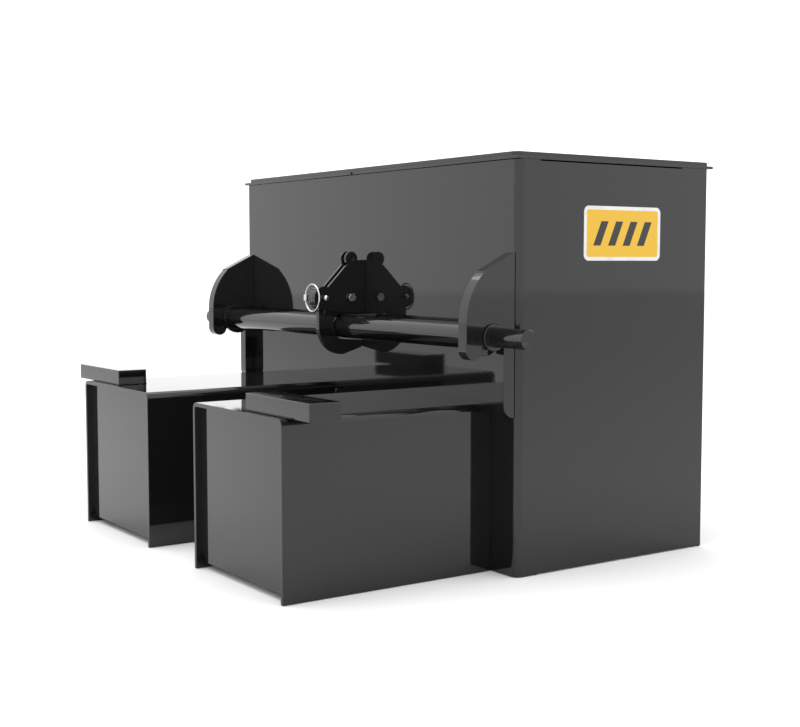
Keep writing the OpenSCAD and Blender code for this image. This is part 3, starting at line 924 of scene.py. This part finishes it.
@dataclass
class KeeperBracket:
    """Two bracket plates, the keeper hook between them and the pivot bolt with its nut."""

    finishes: Finishes
    ease: float = 0.0007
    bolt: float = 0.004
    pitch: float = 0.00125
    thread_depth: float = 0.0006
    head_ease: float = 0.0006
    shank_short: float = 0.001

    def build(self) -> None:
        """Makes the bracket's pieces."""
        for node in ("bracket_plate_left", "bracket_plate_right", "keeper_hook"):
            skin(node, self.ease, Body.BOX, self.finishes.thick_enamel)
        self.build_bolt()
        self.build_nut()

    def hexagon(self, low: Vector, high: Vector, start_x: float, length: float) -> bmesh.types.BMesh:
        """Forms a hexagon head between two planes.

        Args:
            low: Lowest corner of the head's box.
            high: Highest corner of the head's box.
            start_x: X of the head's inner face.
            length: Signed thickness along X.

        Returns:
            The head's bmesh, with eased corners.
        """
        bm = bmesh.new()
        radius = max(high.z - low.z, high.y - low.y) / 2
        ring = bmesh.ops.create_circle(bm, cap_ends=True, radius=radius, segments=6)
        bmesh.ops.rotate(bm, verts=ring["verts"], matrix=Matrix.Rotation(math.radians(90), 3, "Y"))
        push = bmesh.ops.extrude_face_region(bm, geom=bm.faces[:])
        moved = [part for part in push["geom"] if isinstance(part, bmesh.types.BMVert)]
        bmesh.ops.translate(bm, verts=moved, vec=(length, 0, 0))
        middle = (low + high) / 2
        bmesh.ops.translate(bm, verts=bm.verts[:], vec=(start_x, middle.y, middle.z))
        bmesh.ops.recalc_face_normals(bm, faces=bm.faces[:])
        ease_edges(bm, self.head_ease)
        return bm

    def build_bolt(self) -> None:
        """Makes the pivot bolt, with its thread past the nut."""
        low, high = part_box("pivot_bolt")
        nut_low, nut_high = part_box("pivot_nut")
        plate_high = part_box("bracket_plate_right")[1]
        middle = (low + high) / 2
        head = self.hexagon(nut_low, nut_high, plate_high.x, high.x - plate_high.x)
        thread_end = nut_high.x - low.x
        stations = [(0.0, 0.0), (0.0, self.bolt - self.thread_depth)]
        along = self.pitch / 2
        while along < thread_end:
            stations += [(along, self.bolt), (along + self.pitch / 2, self.bolt - self.thread_depth)]
            along += self.pitch
        shank_end = high.x - low.x - self.shank_short
        stations += [(along, self.bolt), (shank_end, self.bolt), (shank_end, 0.0)]
        shank = turned(stations, Vector((low.x, middle.y, middle.z)), steps=40)
        bolt = joined([head, shank])
        show(bolt, "pivot_bolt_formed", Body.BOX, [self.finishes.zinc], ["pivot_bolt"])

    def build_nut(self) -> None:
        """Makes the nut on the pivot bolt."""
        low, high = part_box("pivot_nut")
        nut = self.hexagon(low, high, high.x, low.x - high.x)
        show(nut, "pivot_nut_formed", Body.BOX, [self.finishes.zinc], ["pivot_nut"])


@dataclass
class LinchPin:
    """Spring-ring linch pin: turned pin with its head and eye, and the sprung wire ring."""

    finishes: Finishes
    ease: float = 0.0007
    wire_sides: int = 20
    wire_steps: int = 120
    wire: float = 0.0015
    peg_in: float = 0.002
    peg_ease: float = 0.0003
    gap_angle: float = math.radians(20)

    def build(self) -> None:
        """Makes the pin and the ring."""
        skin("linch_pin", self.ease, Body.PIN, self.finishes.zinc)
        self.build_ring()

    def build_ring(self) -> None:
        """Bends the wire: an open loop whose two ends stand in the pin's eye."""
        low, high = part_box("linch_ring")
        middle_y = (low.y + high.y) / 2
        centre = Vector((high.x - (high.z - low.z) / 2, middle_y, (low.z + high.z) / 2))
        loop_radius = (high.z - low.z) / 2 - self.wire
        gap = self.gap_angle
        bm = bmesh.new()
        circle = bmesh.ops.create_circle(bm, radius=self.wire, segments=self.wire_sides)
        bmesh.ops.translate(bm, verts=circle["verts"], vec=(loop_radius, 0, 0))
        first_turn = Matrix.Rotation(gap - math.pi, 3, "Y")
        bmesh.ops.rotate(bm, verts=bm.verts[:], cent=(0, 0, 0), matrix=first_turn)
        sweep = math.tau - 2 * gap
        bmesh.ops.spin(
            bm,
            geom=bm.verts[:] + bm.edges[:],
            cent=(0, 0, 0),
            axis=(0, 1, 0),
            angle=sweep,
            steps=self.wire_steps,
            use_merge=False,
        )
        bmesh.ops.holes_fill(bm, edges=[edge for edge in bm.edges if edge.is_boundary], sides=0)
        bmesh.ops.recalc_face_normals(bm, faces=bm.faces[:])
        bmesh.ops.translate(bm, verts=bm.verts[:], vec=centre)
        peg_x = centre.x - loop_radius * math.cos(gap)
        peg_top = loop_radius * math.sin(gap)
        peg_length = peg_top - self.peg_in
        pegs = []
        for turn in (-1, 1):
            start_z = centre.z + (self.peg_in if turn > 0 else -peg_top)
            stations = [
                (0.0, 0.0),
                (0.0, self.wire - self.peg_ease),
                (self.peg_ease, self.wire),
                (peg_length - self.peg_ease, self.wire),
                (peg_length, self.wire - self.peg_ease),
                (peg_length, 0.0),
            ]
            pegs.append(turned(stations, Vector((peg_x, middle_y, start_z)), Axis.Z, self.wire_sides))
        ring = joined([bm, *pegs])
        show(ring, "linch_ring_bent", Body.RING, [self.finishes.zinc], ["linch_ring"])


@dataclass
class SideLabel:
    """Plain reflective label with a white border and slanted stripes."""

    corner: float = 0.009
    border: float = 0.0055
    step: float = 0.00005
    corner_steps: int = 10

    def build(self) -> None:
        """Cuts the film and lays the amber field in its border."""
        low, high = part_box("side_label")
        size = high - low
        bm = bmesh.new()
        bmesh.ops.create_grid(bm, x_segments=1, y_segments=1, size=0.5)
        bmesh.ops.scale(bm, vec=(size.z, size.y, 1.0), verts=bm.verts[:])
        upright = Matrix.Rotation(math.radians(90), 3, "Y")
        bmesh.ops.rotate(bm, verts=bm.verts[:], cent=(0, 0, 0), matrix=upright)
        bmesh.ops.bevel(
            bm,
            geom=bm.verts[:],
            offset=self.corner,
            offset_type="OFFSET",
            segments=self.corner_steps,
            profile=0.5,
            affect="VERTICES",
            material=-1,
        )
        middle = (low + high) / 2
        bmesh.ops.translate(bm, verts=bm.verts[:], vec=(high.x - self.step, middle.y, middle.z))
        face = bm.faces[:][0]
        if face.normal.x < 0:
            face.normal_flip()
        bmesh.ops.inset_region(
            bm, faces=[face], thickness=self.border, depth=0.0, use_boundary=True, use_even_offset=True
        )
        face.material_index = 1
        outer = [edge for edge in bm.edges if edge.is_boundary]
        drop = bmesh.ops.extrude_edge_only(bm, edges=outer)
        skirt = [part for part in drop["geom"] if isinstance(part, bmesh.types.BMVert)]
        bmesh.ops.translate(bm, verts=skirt, vec=(low.x - high.x + self.step, 0, 0))
        bmesh.ops.contextual_create(bm, geom=[edge for edge in bm.edges if edge.is_boundary])
        bmesh.ops.recalc_face_normals(bm, faces=bm.faces[:])
        finishes = [WhiteFilm().make(), AmberFilm(centre=tuple(middle)).make()]
        show(bm, "side_label_film", Body.BOX, finishes, ["side_label"])


@dataclass
class Studio:
    """Pale floor, even white surround, one soft panel overhead and the camera."""

    floor_half: float = 14.0
    floor_drop: float = 0.0006
    surround: float = 1.55
    panel_place: tuple[float, float, float] = (-0.6, -0.6, 3.2)
    panel_aim: tuple[float, float, float] = (0.0, 0.0, 0.3)
    panel_size: float = 3.2
    panel_watts: float = 60.0
    camera_place: tuple[float, float, float] = (1.83856, -1.2240, 0.4576)
    camera_tilt: float = math.radians(85.533)
    camera_heading: float = math.radians(55.332)
    lens: float = 58.53
    sensor: float = 36.0

    def build(self) -> None:
        """Makes the stage, the light and the camera."""
        self.build_floor()
        self.build_surround()
        self.build_panel()
        self.build_camera()

    def build_floor(self) -> None:
        """Lays the floor just below the box."""
        bm = bmesh.new()
        bmesh.ops.create_grid(bm, x_segments=8, y_segments=8, size=self.floor_half)
        bmesh.ops.translate(bm, verts=bm.verts[:], vec=(0, 0, -self.floor_drop))
        mesh = bpy.data.meshes.new("studio_floor")
        bm.to_mesh(mesh)
        bm.free()
        mesh.materials.append(StudioFloor().make())
        floor = bpy.data.objects.new("studio_floor", mesh)
        bpy.context.scene.collection.objects.link(floor)

    def build_surround(self) -> None:
        """Sets the even white surround."""
        world = bpy.data.worlds.new("white_surround")
        world.use_nodes = True
        background = world.node_tree.nodes["Background"]
        background.inputs["Color"].default_value = (1, 1, 1, 1)
        background.inputs["Strength"].default_value = self.surround
        bpy.context.scene.world = world

    def build_panel(self) -> None:
        """Hangs the soft square light, which points at the middle of the box."""
        light = bpy.data.lights.new("overhead_panel", "AREA")
        light.shape = "SQUARE"
        light.size = self.panel_size
        light.energy = self.panel_watts
        panel = bpy.data.objects.new("overhead_panel", light)
        panel.location = self.panel_place
        aim = Vector(self.panel_aim) - Vector(self.panel_place)
        panel.rotation_euler = aim.to_track_quat("-Z", "Y").to_euler()
        bpy.context.scene.collection.objects.link(panel)

    def build_camera(self) -> None:
        """Places the camera."""
        lens = bpy.data.cameras.new("camera")
        lens.lens = self.lens
        lens.sensor_width = self.sensor
        camera = bpy.data.objects.new("camera", lens)
        camera.location = self.camera_place
        camera.rotation_euler = (self.camera_tilt, 0.0, self.camera_heading)
        bpy.context.scene.collection.objects.link(camera)
        bpy.context.scene.camera = camera


def main() -> None:
    """Builds the studio and every sub-assembly in order."""
    logging.basicConfig(level=logging.INFO, format="%(message)s")
    bpy.context.scene.view_settings.view_transform = "Standard"
    Studio().build()
    finishes = Finishes()
    BoxShell(finishes).build()
    RimAndLid(finishes).build()
    for side in Side:
        WeightPod(finishes, side).build()
        HitchEar(finishes, side).build()
    CrossBar(finishes).build()
    KeeperBracket(finishes).build()
    LinchPin(finishes).build()
    SideLabel().build()


if __name__ == "__main__":
    main()
